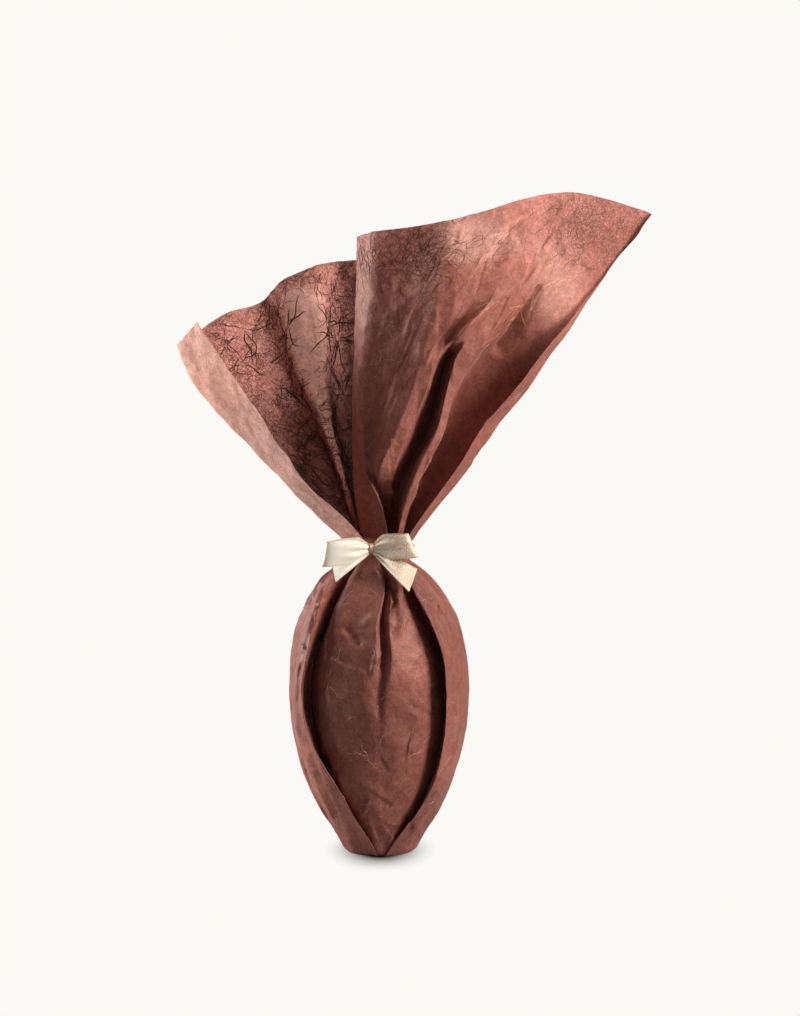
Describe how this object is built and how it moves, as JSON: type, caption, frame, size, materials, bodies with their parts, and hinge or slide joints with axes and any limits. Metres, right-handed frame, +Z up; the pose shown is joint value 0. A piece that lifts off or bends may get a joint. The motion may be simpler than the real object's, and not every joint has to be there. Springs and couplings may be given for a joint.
{
  "type": "wrapped chocolate egg",
  "caption": "Chocolate egg standing on its narrow end, wrapped in fibre paper that is tied at the neck with a satin bow and flares above it in two sheets.",
  "frame": {"origin": "centre of the flat base that the egg stands on", "axes": "+Z up through the neck, -Y the front with the bow and the open pleats, +X the side that the tall front sheet leans to"},
  "size_m": [0.2315, 0.086, 0.3321],
  "materials": {
    "fibre_paper": "matt rose-brown fibre paper with long pale and dark fibres, letting some light through",
    "gold_wire": "thin polished gold-coloured wire",
    "satin_ribbon": "pale gold satin"
  },
  "bodies": {
    "root": {"paper_wrap": "fibre_paper", "neck_tie": "gold_wire", "bow": "satin_ribbon"}
  },
  "joints": []
}
